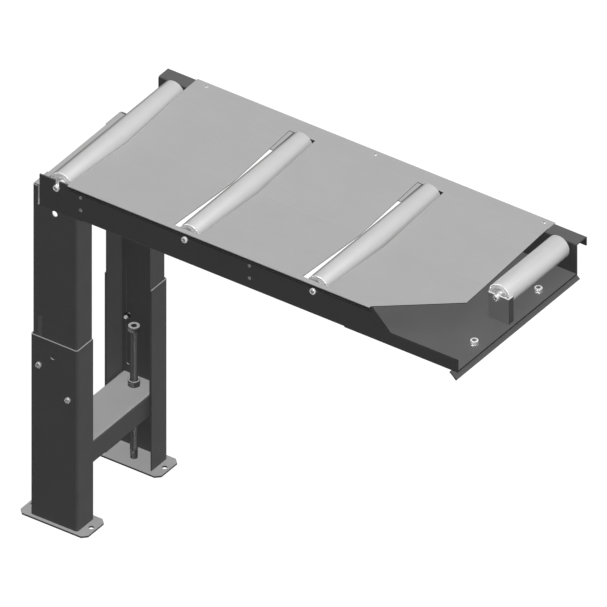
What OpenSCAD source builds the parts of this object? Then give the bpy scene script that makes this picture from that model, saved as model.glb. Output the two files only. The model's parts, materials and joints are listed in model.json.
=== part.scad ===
// Height-adjustable roller conveyor for feeding bar stock to a machine.
// A two-leg stand carries one end of a folded-sheet trough with cross rollers;
// the other end bolts to the machine through the end plate.
// Frame: origin on the floor at the centre of the four anchor holes,
// +X along the feed direction towards the machine, +Y across, +Z up.

/* [Table] */
// Length of both side rails
rail_len = 978; // [960:1:1040]
// Distance between the outer faces of the two rail webs
rail_span = 400; // [385:1:420]
// Height of the rail webs
rail_h = 71.5; // [66:0.5:80]
// Sheet thickness of the rails
rail_t = 3; // [2:0.5:4]
// Height of the rails' lower edge above the floor
rail_bottom_z = 733; // [725:1:760]
// Width of the far rail's outward top flange
far_flange_w = 32; // [28:1:38]
// Depth of the far rail's outer lip
far_lip_h = 21; // [12:1:26]
// Width of the near rail's inward bottom flange
bottom_flange_w = 22; // [16:1:30]
// Length of the end plate
end_plate_len = 265; // [245:5:280]
// Height of the near rail's low stretch beside the end plate
low_wall_h = 28; // [22:1:32]
// Length of the near rail's low stretch
low_wall_len = 158; // [150:1:165]

/* [End plate] */
// Thickness of the end plate
end_plate_t = 3; // [2.5:0.5:5]
// Width of the drip lip, along its slope
end_lip_w = 19; // [16:0.5:24]
// Slope of the drip lip below horizontal, in degrees
end_lip_angle = 44; // [30:1:50]
// Distance from the end plate's edge to the machine bolts
machine_bolt_inset = 26; // [26:1:36]
// Distance between the two machine bolts
machine_bolt_span = 214; // [180:2:240]
// Shank diameter of the machine bolts
machine_bolt_d = 10; // [8:1:12]
// Shank length of the machine bolts below the head
machine_bolt_len = 30; // [22:1:40]

/* [Tray] */
// Thickness of the tray sheet
tray_t = 1.5; // [1:0.25:2]
// Depth of the tray's crease below its edges
tray_depth = 13.5; // [8:0.5:20]
// Distance of the tray's left end from the rails' left end
tray_inset = 67.5; // [67:0.5:72]
// Distance from the rails' right end to the tray's straight right end
tray_gap_right = 74; // [70:1:80]
// Outer radius of the curl on the tray's near edge
tray_curl_r = 4.5; // [4:0.25:5]
// Distance from a middle roller's axis to its slot's left edge in the tray
slot_left = 31; // [29:0.5:34]
// Length across the tray of the tray's corner cut-off
tray_cut_y = 126; // [110:1:150]
// Length along the tray of the tray's corner cut-off
tray_cut_x = 130; // [130:1:160]

/* [Rollers] */
// Outer diameter of the rollers
roller_d = 50; // [48:1:52]
// Wall of the roller tubes
roller_wall = 2; // [1.5:0.25:3]
// Distance of the first roller from the rails' left end
roller_inset = 41; // [38:1:42]
// Distance of the last roller from the rails' right end
last_roller_inset = 37; // [35:1:40]
// Height of the rollers' top above the rails' top edge
roller_rise = 9.5; // [7:0.5:11]
// Gap between a roller's end and the web beside it
roller_end_gap = 12; // [9:1:14]
// Diameter of the fixed axles
axle_d = 12; // [10:1:14]
// Distance of the short roller's bracket from the near rail's outer face
bracket_y = 183; // [170:1:195]
// Width of the short roller's bracket
bracket_w = 48.5; // [48:0.5:54]
// Width of the bracket's side flange
bracket_flange = 16; // [12:1:20]

/* [Stand] */
// Distance between the outer faces of the upper legs
stand_span = 296; // [285:1:305]
// Width of the upper legs
upper_w = 104; // [100:1:110]
// Depth of the upper legs' flanges
upper_depth = 50.5; // [48:0.5:54]
// Sheet thickness of all four legs
leg_t = 2.5; // [2:0.25:3]
// Outer bend radius of the legs
leg_r = 5; // [4:0.5:6]
// Sliding gap between an upper leg and its lower leg
leg_gap = 0.4; // [0.3:0.05:0.6]
// Height of the lower legs above their base plates
lower_h = 421.5; // [405:0.5:440]
// Height of the upper legs' left flanges above the floor
leg_top_z = 775; // [765:1:780]
// Height of the upper legs' lower ends above the floor
upper_bottom_z = 120; // [118:1:124]
// Travel of the table up and down from the middle
travel = 110; // [80:1:111]
// Height of the crossbar's top face above the floor
crossbar_top_z = 173; // [172:1:178]
// Height of the crossbar
crossbar_h = 50; // [46:1:52]
// Width of the crossbar
crossbar_w = 89; // [80:1:92]

/* [Base and jacks] */
// Length of a base plate
base_len = 158; // [152:1:170]
// Width of a base plate
base_w = 72; // [68:1:76]
// Thickness of a base plate
base_t = 4; // [4:0.5:6]
// Corner chamfer of a base plate
base_chamfer = 10; // [6:1:12]
// Diameter of the anchor holes
anchor_d = 11; // [9:0.5:12]
// Distance between the anchor holes along X
anchor_span_x = 136; // [132:1:138]
// Distance between the anchor holes along Y
anchor_span_y = 245; // [240:1:248]
// Diameter of the jack spindles
spindle_d = 16; // [14:1:18]
// Height of the spindles' hexagon heads above the floor
spindle_top_z = 312; // [310:1:320]
// Distance of a spindle's axis from its upper leg's outer face
spindle_inset = 31; // [28:1:33]

/* [Hidden] */
$fn = 48;

// Colours
dark_paint = "#454545";
grey_sheet = "#b2b2b2";
zinc = "#c8c8cc";
roller_steel = "#d8d8d8";
steel = "#8f9296";

// Small clearances and cutting overlaps
seat_gap = 0.3;
run_gap = 0.05;
cut = 1;

// Places of the table in the stand's frame
rail_left_x = -35.5;
near_y = -stand_span / 2;
rail_top_z = rail_bottom_z + rail_h;
far_y = near_y + rail_span;
rail_right_x = rail_left_x + rail_len;
crease_y = near_y + rail_span / 2;
axle_z = rail_top_z + roller_rise - roller_d / 2;
inner_near_y = near_y + rail_t;
inner_far_y = far_y - rail_t;
bracket_face_y = near_y + bracket_y;
roller_pitch = (rail_len - roller_inset - last_roller_inset) / 3;
roller_x = [for (i = [0:3]) rail_left_x + roller_inset + i * roller_pitch];
floor_z = rail_bottom_z + rail_t;

// Fastener sizes
axle_screw_d = 8;
axle_screw_reach = 18;
axle_hole_d = axle_screw_d + 1;
axle_head_d = 13;
axle_head_h = 5;
rivet_d = 5;
rivet_head_d = 8;
rivet_head_h = 1.6;
tray_screw_d = 5;
tray_screw_head_d = 9;
tray_screw_head_h = 2;
machine_head_d = 16;
machine_head_h = 10;
machine_socket_d = 9.2;
machine_socket_deep = 6;
machine_hole_d = machine_bolt_d + 2.5;
clamp_d = 8;
clamp_head_d = 13;
clamp_head_h = 5.5;
clamp_nut_d = 15;
clamp_nut_h = 6.5;
leg_bolt_d = 8;
leg_bolt_head_d = 14.4;
leg_bolt_head_h = 5;

// Places of fasteners
first_rib_inset = 96;
middle_rib_shift = 2;
last_screw_inset = 92;
rivet_x = [rail_left_x + first_rib_inset, rail_left_x + rail_len / 2 + middle_rib_shift];
rivet_depths = [17.5, 46.5];
tray_screw_x = concat(rivet_x, [rail_right_x - last_screw_inset]);
tray_screw_inset = 12;
tray_screw_y = far_y + far_flange_w - tray_screw_inset;
machine_bolt_x = rail_right_x - machine_bolt_inset;
machine_bolt_y = [for (s = [-1, 1]) crease_y + s * machine_bolt_span / 2];
clamp_x = 34;
clamp_high_drop = 64.5;
clamp_low_drop = 120;
clamp_high_z = base_t + lower_h - clamp_high_drop;
clamp_low_z = base_t + lower_h - clamp_low_drop;
clamp_slot_w = clamp_d + 1;

// Derived stand sizes
leg_step = leg_t + leg_gap;
lower_w = upper_w + 2 * leg_step;
lower_depth = upper_depth + leg_step;
spindle_y = stand_span / 2 - spindle_inset;
spindle_head_h = 10;
spindle_head_d = 27;
spindle_nut_h = 13;
spindle_foot_d = 10;
crossbar_shift = -1.5;

// Leg top plates and the table's left end plate
leg_plate_t = 3;
leg_bolt_x = [8, 36];
leg_bolt_y = stand_span / 2 - upper_depth / 2;
leg_bolt_len = 22;
left_plate_inset = 30;
left_plate_len = 70;

// Folds, end plate and drip lip
bend_r = rail_t + 1;
end_plate_top = rail_bottom_z + end_plate_t;
lip_t = 3;
lip_inset = 11.5;
lip_seat = 3.2;
lip_overhang = 6;
flange_to = rail_len - end_plate_len - seat_gap;
far_web_rise = 12;

// Short roller's bracket
bracket_paint = "#7d7b7c";
bracket_shift = 4.25;
bracket_top_z = axle_z + 5;
bracket_rivet_x = [for (s = [-1, 1]) roller_x[3] + s * 12];
bracket_foot_y = bracket_face_y + 0.62 * bracket_flange;

// Tray details
curl_shift = 0;
curl_end = 250;
tray_corner_out = 7;
slot_right = 29.5;
slot_near_inset = 8;
slot_far_inset = 5;
tongue_len = 70;
tongue_drop = 1.2;
tongue_near_gap = 23.8;
tongue_far_gap = 21.4;
rib_flange = 30;
rib_lift = 10;
rib_gap = 0.1;
rib_drop = 6;
tray_screw_reach = 6;

// Roller ends and bearings
short_end_gap = 6;
far_end_gap = 6;
cap_recess = 2;
cap_face = 2;
bearing_d = 32;
bearing_h = 10;
bearing_mouth_d = 26;
inner_ring_d = 18;

// Outline of a sheet channel: web on y = 0, flanges towards +y
module channel_2d(width, depth, wall, bend) {
    difference() {
        round_back_2d(width, depth, bend);
        translate([0, wall]) round_back_2d(width - 2 * wall, depth, bend - wall);
    }
}

// Rectangle whose two corners on y = 0 are round
module round_back_2d(width, depth, bend) {
    translate([-width / 2, bend]) square([width, depth - bend]);
    translate([-width / 2 + bend, 0]) square([width - 2 * bend, bend + 0.01]);
    for (side = [-1, 1]) translate([side * (width / 2 - bend), bend]) circle(bend);
}

// Rod along +Y that starts at y
module rod_y(x, y, z, d, length) {
    translate([x, y, z]) rotate([-90, 0, 0]) cylinder(d = d, h = length);
}

// Hexagon prism along +Y that starts at y
module hex_y(x, y, z, d, length) {
    translate([x, y, z]) rotate([-90, 0, 0]) cylinder(d = d, h = length, $fn = 6);
}

// Runs its children for the near side, then mirrored for the far side
module turned_about(side) {
    rotate([0, 0, side < 0 ? 0 : 180]) children();
}

// Vertical slot through a web, between two heights
module clamp_slot(x, low, high) {
    for (z = [low, high]) rod_y(x, near_y - cut, z, clamp_slot_w, leg_t + 2 * cut);
    translate([x - clamp_slot_w / 2, near_y - cut, low]) cube([clamp_slot_w, leg_t + 2 * cut, high - low]);
}

// Lower legs and their plates
pin_hole_d = 12;
pin_hole_x = -3;
pin_hole_drop = 35;

module lower_leg(side) {
    color(dark_paint) turned_about(side) difference() {
        translate([0, near_y - leg_step, base_t]) linear_extrude(lower_h)
            channel_2d(lower_w, lower_depth, leg_t, leg_r + leg_gap);
        rod_y(-clamp_x, near_y - leg_step - cut, clamp_high_z, clamp_d + 0.6, leg_t + 2 * cut);
        rod_y(clamp_x, near_y - leg_step - cut, clamp_low_z, clamp_d + 0.6, leg_t + 2 * cut);
        rod_y(pin_hole_x, near_y - leg_step - cut, base_t + lower_h - pin_hole_drop, pin_hole_d, leg_t + 2 * cut);
    }
}

module base_plate(side) {
    x = base_len / 2;
    y = base_w / 2;
    c = base_chamfer;
    color(dark_paint) translate([0, side * anchor_span_y / 2, 0]) difference() {
        linear_extrude(base_t) polygon([
            [-x + c, -y], [x - c, -y], [x, -y + c], [x, y - c],
            [x - c, y], [-x + c, y], [-x, y - c], [-x, -y + c]
        ]);
        for (s = [-1, 1]) translate([s * anchor_span_x / 2, 0, -cut]) cylinder(d = anchor_d, h = base_t + 2 * cut);
        translate([0, side * (spindle_y - anchor_span_y / 2), -cut])
            cylinder(d = spindle_foot_d + 2 * run_gap, h = base_t + 2 * cut);
    }
}

// Clamp screws: head outside the lower leg, nut inside the upper leg
clamp_len = leg_step + leg_t + clamp_nut_h + 3;

module clamp_screw(x, z) {
    face_y = near_y - leg_step;
    rod_y(x, face_y - clamp_head_h, z, clamp_head_d, clamp_head_h);
    rod_y(x, face_y - 0.01, z, clamp_d, clamp_len + 0.01);
}

module clamp_nut(x, z) {
    difference() {
        hex_y(x, near_y + leg_t + seat_gap, z, clamp_nut_d, clamp_nut_h);
        rod_y(x, near_y, z, clamp_d + 2 * run_gap, clamp_nut_h + leg_t + 2 * cut);
    }
}

module clamp_screws() {
    color(zinc) for (side = [-1, 1]) turned_about(side) {
        clamp_screw(-clamp_x, clamp_high_z);
        clamp_screw(clamp_x, clamp_low_z);
    }
}

module clamp_nuts() {
    color(zinc) for (side = [-1, 1]) turned_about(side) {
        clamp_nut(-clamp_x, clamp_high_z);
        clamp_nut(clamp_x, clamp_low_z);
    }
}

// Upper legs: the web and the right flange end below the table,
// the left flange goes on up to the top cross member
ear_w = 12;
saddle_z = rail_bottom_z;
web_hole_d = 13;
web_hole_drop = 8;

module upper_leg(side) {
    ear_side = side;
    color(dark_paint) turned_about(side) difference() {
        translate([0, near_y, upper_bottom_z]) linear_extrude(leg_top_z - upper_bottom_z)
            channel_2d(upper_w, upper_depth, leg_t, leg_r);
        // Cut-out that the table sits in; it leaves only the flange at the table's end
        translate([ear_side * (upper_w / 2 - ear_w) + (ear_side < 0 ? 0 : -upper_w), near_y - cut, saddle_z])
            cube([upper_w, leg_t + cut + 0.5, leg_top_z]);
        translate([ear_side < 0 ? -upper_w / 2 + 2 * ear_w : -upper_w / 2 - cut, near_y - cut, saddle_z])
            cube([upper_w - 2 * ear_w + cut, upper_depth + 2 * cut, leg_top_z]);
        clamp_slot(-clamp_x, clamp_high_z - travel, clamp_high_z + travel);
        clamp_slot(clamp_x, clamp_low_z - travel, clamp_low_z + travel);
        rod_y(0, near_y - cut, saddle_z - web_hole_drop, web_hole_d, leg_t + 2 * cut);
        translate([ear_side * (upper_w / 2 - leg_t / 2), -member_screw_y, leg_top_z - member_screw_drop])
            rotate([0, 90, 0]) cylinder(d = member_screw_d + 0.6, h = leg_t + 2 * cut, center = true);
    }
}

// Crossbar between the upper legs; the jack nuts push it up
module crossbar() {
    length = stand_span - 2 * leg_t;
    color(dark_paint) difference() {
        translate([crossbar_shift, length / 2, crossbar_top_z]) rotate([90, 0, 0]) linear_extrude(length)
            mirror([0, 1]) channel_2d(crossbar_w, crossbar_h, leg_t, leg_r);
        for (side = [-1, 1]) translate([0, side * spindle_y, crossbar_top_z - leg_t - cut])
            cylinder(d = spindle_d + 2, h = leg_t + 2 * cut);
    }
}

module spindle_nuts() {
    color(zinc) for (side = [-1, 1]) translate([0, side * spindle_y, crossbar_top_z]) difference() {
        cylinder(d = spindle_head_d, h = spindle_nut_h, $fn = 6);
        translate([0, 0, -cut]) cylinder(d = spindle_d + 2 * run_gap, h = spindle_nut_h + 2 * cut);
    }
}

// Jack spindle: hexagon head, and a thinner foot that turns in the base plate
module spindle(side) {
    foot_z = base_t + run_gap;
    color(steel) translate([0, side * spindle_y, 0]) {
        translate([0, 0, seat_gap]) cylinder(d = spindle_foot_d, h = foot_z);
        translate([0, 0, foot_z]) cylinder(d = spindle_d, h = spindle_top_z - spindle_head_h - foot_z);
        translate([0, 0, spindle_top_z - spindle_head_h - 0.01])
            cylinder(d = spindle_head_d, h = spindle_head_h + 0.01, $fn = 6);
    }
}

// Angle that joins the tops of the two upper legs at the table's open end
member_h = leg_top_z - saddle_z - 2;
member_flange = 10;
member_screw_d = 6;
member_screw_drop = member_h / 2;
member_x = -upper_w / 2 + leg_t;
member_screw_y = stand_span / 2 - upper_depth / 2;

module top_cross_member() {
    length = stand_span - 2 * leg_r;
    color(grey_sheet) difference() {
        translate([member_x, length / 2, leg_top_z]) rotate([90, 0, 0]) linear_extrude(length) union() {
            translate([0, -member_h]) square([leg_t, member_h]);
            translate([0, -leg_t]) square([member_flange, leg_t]);
        }
        for (side = [-1, 1]) translate([member_x - cut, side * member_screw_y, leg_top_z - member_screw_drop])
            rotate([0, 90, 0]) cylinder(d = member_screw_d + 0.6, h = leg_t + 2 * cut);
    }
}

module member_screws() {
    color(zinc) for (side = [-1, 1]) translate([0, side * member_screw_y, leg_top_z - member_screw_drop]) rotate([0, 90, 0]) {
        translate([0, 0, -upper_w / 2 - rivet_head_h]) cylinder(d = 2 * member_screw_d, h = rivet_head_h);
        translate([0, 0, -upper_w / 2 - 0.01]) cylinder(d = member_screw_d, h = 2 * leg_t + 0.02);
        translate([0, 0, -upper_w / 2 + 2 * leg_t]) cylinder(d = 2 * member_screw_d, h = rivet_head_h);
    }
}

// Plates welded into the tops of the upper legs; the table is bolted to them
module leg_top_plates() {
    plate_w = upper_w - 2 * leg_t;
    color(dark_paint) for (side = [-1, 1]) turned_about(side) difference() {
        translate([0, near_y + leg_t, saddle_z - leg_plate_t]) linear_extrude(leg_plate_t)
            round_back_2d(plate_w, upper_depth - leg_t, leg_r - leg_t + run_gap);
        for (x = leg_bolt_x) translate([-side * x, -leg_bolt_y, saddle_z - leg_plate_t - cut])
            cylinder(d = leg_bolt_d + 1, h = leg_plate_t + 2 * cut);
    }
}

// Plate across the table's left end that rests on the legs
module left_end_plate() {
    color(dark_paint) difference() {
        translate([rail_left_x + left_plate_inset, inner_near_y, rail_bottom_z])
            cube([left_plate_len, inner_far_y - inner_near_y, rail_t]);
        for (x = leg_bolt_x, side = [-1, 1]) translate([x, side * leg_bolt_y, rail_bottom_z - cut])
            cylinder(d = leg_bolt_d + 1, h = rail_t + 2 * cut);
    }
}

module leg_bolts() {
    color(zinc) for (x = leg_bolt_x, side = [-1, 1]) translate([x, side * leg_bolt_y, 0]) {
        translate([0, 0, floor_z]) cylinder(d = leg_bolt_head_d, h = leg_bolt_head_h, $fn = 6);
        translate([0, 0, floor_z - leg_bolt_len]) cylinder(d = leg_bolt_d, h = leg_bolt_len + 0.01);
    }
}

module leg_nuts() {
    color(zinc) for (x = leg_bolt_x, side = [-1, 1])
        translate([x, side * leg_bolt_y, saddle_z - leg_plate_t - clamp_nut_h]) difference() {
            cylinder(d = clamp_nut_d, h = clamp_nut_h, $fn = 6);
            translate([0, 0, -cut]) cylinder(d = leg_bolt_d + 2 * run_gap, h = clamp_nut_h + 2 * cut);
        }
}

// Quarter of a bent sheet's cross-section, in the given quadrant
module bend_2d(u, v, side_u, side_v) {
    translate([u, v]) intersection() {
        difference() {
            circle(bend_r);
            circle(bend_r - rail_t);
        }
        translate([side_u > 0 ? 0 : -bend_r - cut, side_v > 0 ? 0 : -bend_r - cut]) square(bend_r + cut);
    }
}

// Stretches a (Y, Z) outline along X between two distances from the rails' left end
module along_rail(from, to) {
    translate([rail_left_x + from, 0, 0]) rotate([90, 0, 90]) linear_extrude(to - from) children();
}

module near_rail() {
    drop = rail_h - low_wall_h;
    low_x = rail_len - low_wall_len;
    flange_from = left_plate_inset + left_plate_len + seat_gap;
    color(dark_paint) difference() {
        union() {
            translate([rail_left_x, near_y + rail_t, rail_bottom_z]) rotate([90, 0, 0]) linear_extrude(rail_t)
                polygon([
                    [0, 0], [flange_from, 0], [flange_from, bend_r], [flange_to, bend_r], [flange_to, 0],
                    [rail_len, 0], [rail_len, low_wall_h], [low_x, low_wall_h], [low_x - drop, rail_h], [0, rail_h]
                ]);
            along_rail(flange_from, flange_to) translate([near_y, rail_bottom_z]) {
                bend_2d(bend_r, bend_r, -1, -1);
                translate([bend_r, 0]) square([bottom_flange_w - bend_r, rail_t]);
            }
        }
        for (i = [0:2]) rod_y(roller_x[i], near_y - cut, axle_z, axle_hole_d, rail_t + 2 * cut);
        // The first axle drops in from above through an open notch
        translate([roller_x[0] - axle_hole_d / 2, near_y - cut, axle_z])
            cube([axle_hole_d, rail_t + 2 * cut, rail_h]);
        for (x = rivet_x, d = rivet_depths) rod_y(x, near_y - cut, rail_top_z - d, rivet_d + 0.2, rail_t + 2 * cut);
    }
}

module far_rail() {
    flange_from = left_plate_inset + left_plate_len + seat_gap;
    top = rail_h - bend_r;
    color(dark_paint) difference() {
        union() {
            along_rail(0, rail_len) translate([far_y, rail_bottom_z]) {
                translate([-rail_t, bend_r]) square([rail_t, top - bend_r]);
                bend_2d(-rail_t + bend_r, top, -1, 1);
                translate([-rail_t + bend_r, rail_h - rail_t]) square([far_flange_w + rail_t - 2 * bend_r, rail_t]);
                bend_2d(far_flange_w - bend_r, top, 1, 1);
                translate([far_flange_w - rail_t, rail_h - far_lip_h]) square([rail_t, far_lip_h - bend_r]);
            }
            along_rail(0, flange_from) translate([far_y - rail_t, rail_bottom_z]) square([rail_t, bend_r]);
            along_rail(flange_to, rail_len) translate([far_y - rail_t, rail_bottom_z]) square([rail_t, bend_r]);
        }
        translate([rail_left_x + flange_from, inner_far_y - cut, rail_bottom_z - cut])
            cube([flange_to - flange_from, rail_t + 2 * cut, far_web_rise + cut]);
        for (x = roller_x) rod_y(x, inner_far_y - cut, axle_z, axle_hole_d, rail_t + 2 * cut);
        for (x = rivet_x, d = rivet_depths) rod_y(x, inner_far_y - cut, rail_top_z - d, rivet_d + 0.2, rail_t + 2 * cut);
        for (x = tray_screw_x) translate([x, tray_screw_y, rail_top_z - rail_t - cut])
            cylinder(d = tray_screw_d + 0.4, h = rail_t + 2 * cut);
    }
}

// End plate: floor between the webs at the machine's end
module end_plate() {
    from = rail_right_x - end_plate_len;
    color(dark_paint) difference() {
        translate([from, inner_near_y, rail_bottom_z])
            cube([end_plate_len, inner_far_y - inner_near_y, end_plate_t]);
        for (y = machine_bolt_y) translate([machine_bolt_x, y, rail_bottom_z - cut])
            cylinder(d = machine_hole_d, h = end_plate_t + 2 * cut);
        for (x = bracket_rivet_x) translate([x, bracket_foot_y, rail_bottom_z - cut])
            cylinder(d = rivet_d + 0.2, h = end_plate_t + 2 * cut);
    }
}

// Sloping drip lip under the rails' right ends
module end_lip() {
    start = rail_right_x - lip_inset;
    run = end_lip_w * cos(end_lip_angle);
    drop = end_lip_w * sin(end_lip_angle);
    under_x = start + run - lip_t * sin(end_lip_angle);
    under_z = rail_bottom_z - drop - lip_t * cos(end_lip_angle);
    seat_z = rail_bottom_z - lip_t;
    fold_x = under_x - (seat_z - under_z) / tan(end_lip_angle);
    color(dark_paint) translate([0, far_y + lip_overhang, 0]) rotate([90, 0, 0])
        linear_extrude(rail_span + 2 * lip_overhang) polygon([
            [start, rail_bottom_z], [start + run, rail_bottom_z - drop], [under_x, under_z],
            [fold_x, seat_z], [start - lip_seat, seat_z], [start - lip_seat, rail_bottom_z]
        ]);
}

module machine_bolts() {
    color(zinc) for (y = machine_bolt_y) translate([machine_bolt_x, y, end_plate_top]) {
        difference() {
            cylinder(d = machine_head_d, h = machine_head_h);
            translate([0, 0, machine_head_h - machine_socket_deep])
                cylinder(d = machine_socket_d, h = machine_socket_deep + cut, $fn = 6);
        }
        translate([0, 0, -machine_bolt_len]) cylinder(d = machine_bolt_d, h = machine_bolt_len + 0.01);
    }
}

// Folded bracket that holds the short roller's near end
module roller_bracket() {
    left = roller_x[3] - bracket_w / 2 + bracket_shift;
    color(bracket_paint) difference() {
        union() {
            translate([left, bracket_face_y, end_plate_top]) cube([bracket_w, rail_t, bracket_top_z - end_plate_top]);
            translate([left + bracket_w - rail_t, bracket_face_y, end_plate_top])
                cube([rail_t, bracket_flange, bracket_top_z - end_plate_top]);
            translate([left, bracket_face_y, end_plate_top]) cube([bracket_w, bracket_flange, rail_t]);
        }
        rod_y(roller_x[3], bracket_face_y - cut, axle_z, axle_hole_d, rail_t + 2 * cut);
        translate([roller_x[3] - axle_hole_d / 2, bracket_face_y - cut, axle_z])
            cube([axle_hole_d, rail_t + 2 * cut, rail_h]);
        for (x = bracket_rivet_x) translate([x, bracket_foot_y, end_plate_top - cut])
            cylinder(d = rivet_d + 0.2, h = rail_t + 2 * cut);
    }
}

module bracket_rivets() {
    grip = end_plate_t + rail_t;
    color(zinc) for (x = bracket_rivet_x) translate([x, bracket_foot_y, rail_bottom_z]) {
        translate([0, 0, -rivet_head_h]) cylinder(d = rivet_head_d, h = rivet_head_h);
        translate([0, 0, -0.01]) cylinder(d = rivet_d, h = grip + 0.02);
        translate([0, 0, grip]) cylinder(d = rivet_head_d, h = rivet_head_h);
    }
}

// Point of the tray's near curl at an angle, as (Y, Z)
function curl_point(a, r) = [
    near_y + curl_shift + r * cos(a), rail_top_z + tray_t - tray_curl_r + r * sin(a)
];

// Cross-section of the tray as (Y, Z): a curl over the near rail, a shallow V, a flat far edge
module tray_2d() {
    top = rail_top_z + tray_t;
    low = rail_top_z;
    polygon(concat(
        [for (a = [curl_end:-10:90]) curl_point(a, tray_curl_r)],
        [
            [inner_near_y, top], [crease_y, top - tray_depth], [inner_far_y, top],
            [far_y + far_flange_w, top], [far_y + far_flange_w, low],
            [inner_far_y, low], [crease_y, low - tray_depth], [inner_near_y, low]
        ],
        [for (a = [90:10:curl_end]) curl_point(a, tray_curl_r - tray_t)]
    ));
}

// Tray: folded sheet with a slot round each middle roller and a cut-off corner
module tray() {
    slot_end_y = inner_far_y - slot_far_inset;
    left = rail_left_x + tray_inset;
    right = rail_right_x - tray_gap_right;
    color(grey_sheet) difference() {
        union() {
            difference() {
                translate([left, 0, 0]) rotate([90, 0, 90]) linear_extrude(right + tray_corner_out - left) tray_2d();
                for (i = [1, 2]) translate([roller_x[i] - slot_left, near_y + slot_near_inset, 0])
                    cube([slot_left + slot_right, slot_end_y - near_y - slot_near_inset, rail_top_z + roller_d]);
            }
            // Lowered tongue on the left of each middle roller's far end; its edge follows the roller
            for (i = [1, 2]) intersection() {
                translate([roller_x[i] - slot_left - tray_t, 0, -tongue_drop])
                    rotate([90, 0, 90]) linear_extrude(slot_left) tray_2d();
                linear_extrude(rail_top_z + roller_d) translate([roller_x[i], inner_far_y]) polygon([
                    [-slot_left - tray_t, -tongue_len], [-tongue_near_gap, -tongue_len],
                    [-tongue_far_gap, -slot_far_inset + tray_t], [-slot_left - tray_t, -slot_far_inset + tray_t]
                ]);
            }
        }
        linear_extrude(rail_top_z + roller_d) polygon([
            [right, far_y + far_flange_w + cut], [right, crease_y], [right + tray_corner_out, near_y + tray_cut_y],
            [right - tray_cut_x, near_y], [right - tray_cut_x, near_y - tray_curl_r],
            [right + 2 * tray_corner_out, near_y - tray_curl_r], [right + 2 * tray_corner_out, far_y + far_flange_w + cut]
        ]);
        for (x = tray_screw_x) translate([x, tray_screw_y, rail_top_z - cut])
            cylinder(d = tray_screw_d + 0.4, h = tray_t + 2 * cut);
    }
}

// Rib under the tray: its upper edge follows the V, its ends are riveted to the webs
module tray_rib(i) {
    x = rivet_x[i];
    low = rail_bottom_z + rib_lift;
    color(dark_paint) difference() {
        union() {
            translate([x + rib_flange / 2 - rail_t, 0, 0]) rotate([90, 0, 90]) linear_extrude(rail_t) polygon([
                [inner_near_y, low], [inner_far_y, low], [inner_far_y, rail_top_z - rib_gap],
                [crease_y, rail_top_z - tray_depth - rib_gap], [inner_near_y, rail_top_z - rib_gap]
            ]);
            for (y = [inner_near_y, inner_far_y - rail_t]) translate([x - rib_flange / 2, y, low])
                cube([rib_flange, rail_t, rail_top_z - rib_drop - low]);
        }
        for (d = rivet_depths, y = [inner_near_y, inner_far_y - rail_t])
            rod_y(x, y - cut, rail_top_z - d, rivet_d + 0.2, rail_t + 2 * cut);
    }
}

module tray_rib_1() { tray_rib(0); }
module tray_rib_2() { tray_rib(1); }

// Rivets through a web and a rib's end; the head lies on the web's outer face
module tray_rivets() {
    color(steel) for (x = rivet_x, d = rivet_depths) {
        z = rail_top_z - d;
        rod_y(x, near_y - rivet_head_h, z, rivet_head_d, rivet_head_h);
        rod_y(x, near_y - 0.01, z, rivet_d, 2 * rail_t + 0.02);
        rod_y(x, inner_near_y + rail_t, z, rivet_head_d, rivet_head_h);
        rod_y(x, far_y, z, rivet_head_d, rivet_head_h);
        rod_y(x, far_y - 2 * rail_t - 0.01, z, rivet_d, 2 * rail_t + 0.02);
        rod_y(x, inner_far_y - rail_t - rivet_head_h, z, rivet_head_d, rivet_head_h);
    }
}

module tray_screws() {
    color(zinc) for (x = tray_screw_x) translate([x, tray_screw_y, rail_top_z + tray_t]) {
        cylinder(d = tray_screw_head_d, h = tray_screw_head_h);
        translate([0, 0, -tray_t - rail_t - tray_screw_reach])
            cylinder(d = tray_screw_d, h = tray_t + rail_t + tray_screw_reach + 0.01);
    }
}

// Socket screws that hold the axles from outside the webs
module axle_screw(x, y, side) {
    rod_y(x, side < 0 ? y - axle_head_h : y, axle_z, axle_head_d, axle_head_h);
    rod_y(x, side < 0 ? y - 0.01 : y - axle_screw_reach, axle_z, axle_screw_d, axle_screw_reach + 0.01);
}

function axle_from(i) = i < 3 ? inner_near_y : bracket_face_y + rail_t;
function tube_from(i) = axle_from(i) + (i < 3 ? roller_end_gap : short_end_gap);
tube_to = inner_far_y - far_end_gap;

module near_axle_screws() {
    color(zinc) for (i = [0:3]) axle_screw(roller_x[i], axle_from(i) - rail_t, -1);
}

module far_axle_screws() {
    color(zinc) for (x = roller_x) axle_screw(x, far_y, 1);
}

// Fixed axle, tapped at both ends
module roller_axle(i) {
    from = axle_from(i);
    deep = axle_screw_reach - rail_t + 1;
    color(steel) difference() {
        rod_y(roller_x[i], from, axle_z, axle_d, inner_far_y - from);
        rod_y(roller_x[i], from - cut, axle_z, axle_screw_d + 2 * run_gap, deep + cut);
        rod_y(roller_x[i], inner_far_y - deep, axle_z, axle_screw_d + 2 * run_gap, deep + cut);
    }
}

module roller_tube(i) {
    color(roller_steel) difference() {
        rod_y(roller_x[i], tube_from(i), axle_z, roller_d, tube_to - tube_from(i));
        rod_y(roller_x[i], tube_from(i) - cut, axle_z, roller_d - 2 * roller_wall, tube_to - tube_from(i) + 2 * cut);
    }
}

// Ring along Y, given by its ends and diameters
module ring_y(i, from, to, outer, inner) {
    difference() {
        rod_y(roller_x[i], from, axle_z, outer, to - from);
        rod_y(roller_x[i], from - cut, axle_z, inner, to - from + 2 * cut);
    }
}

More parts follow.
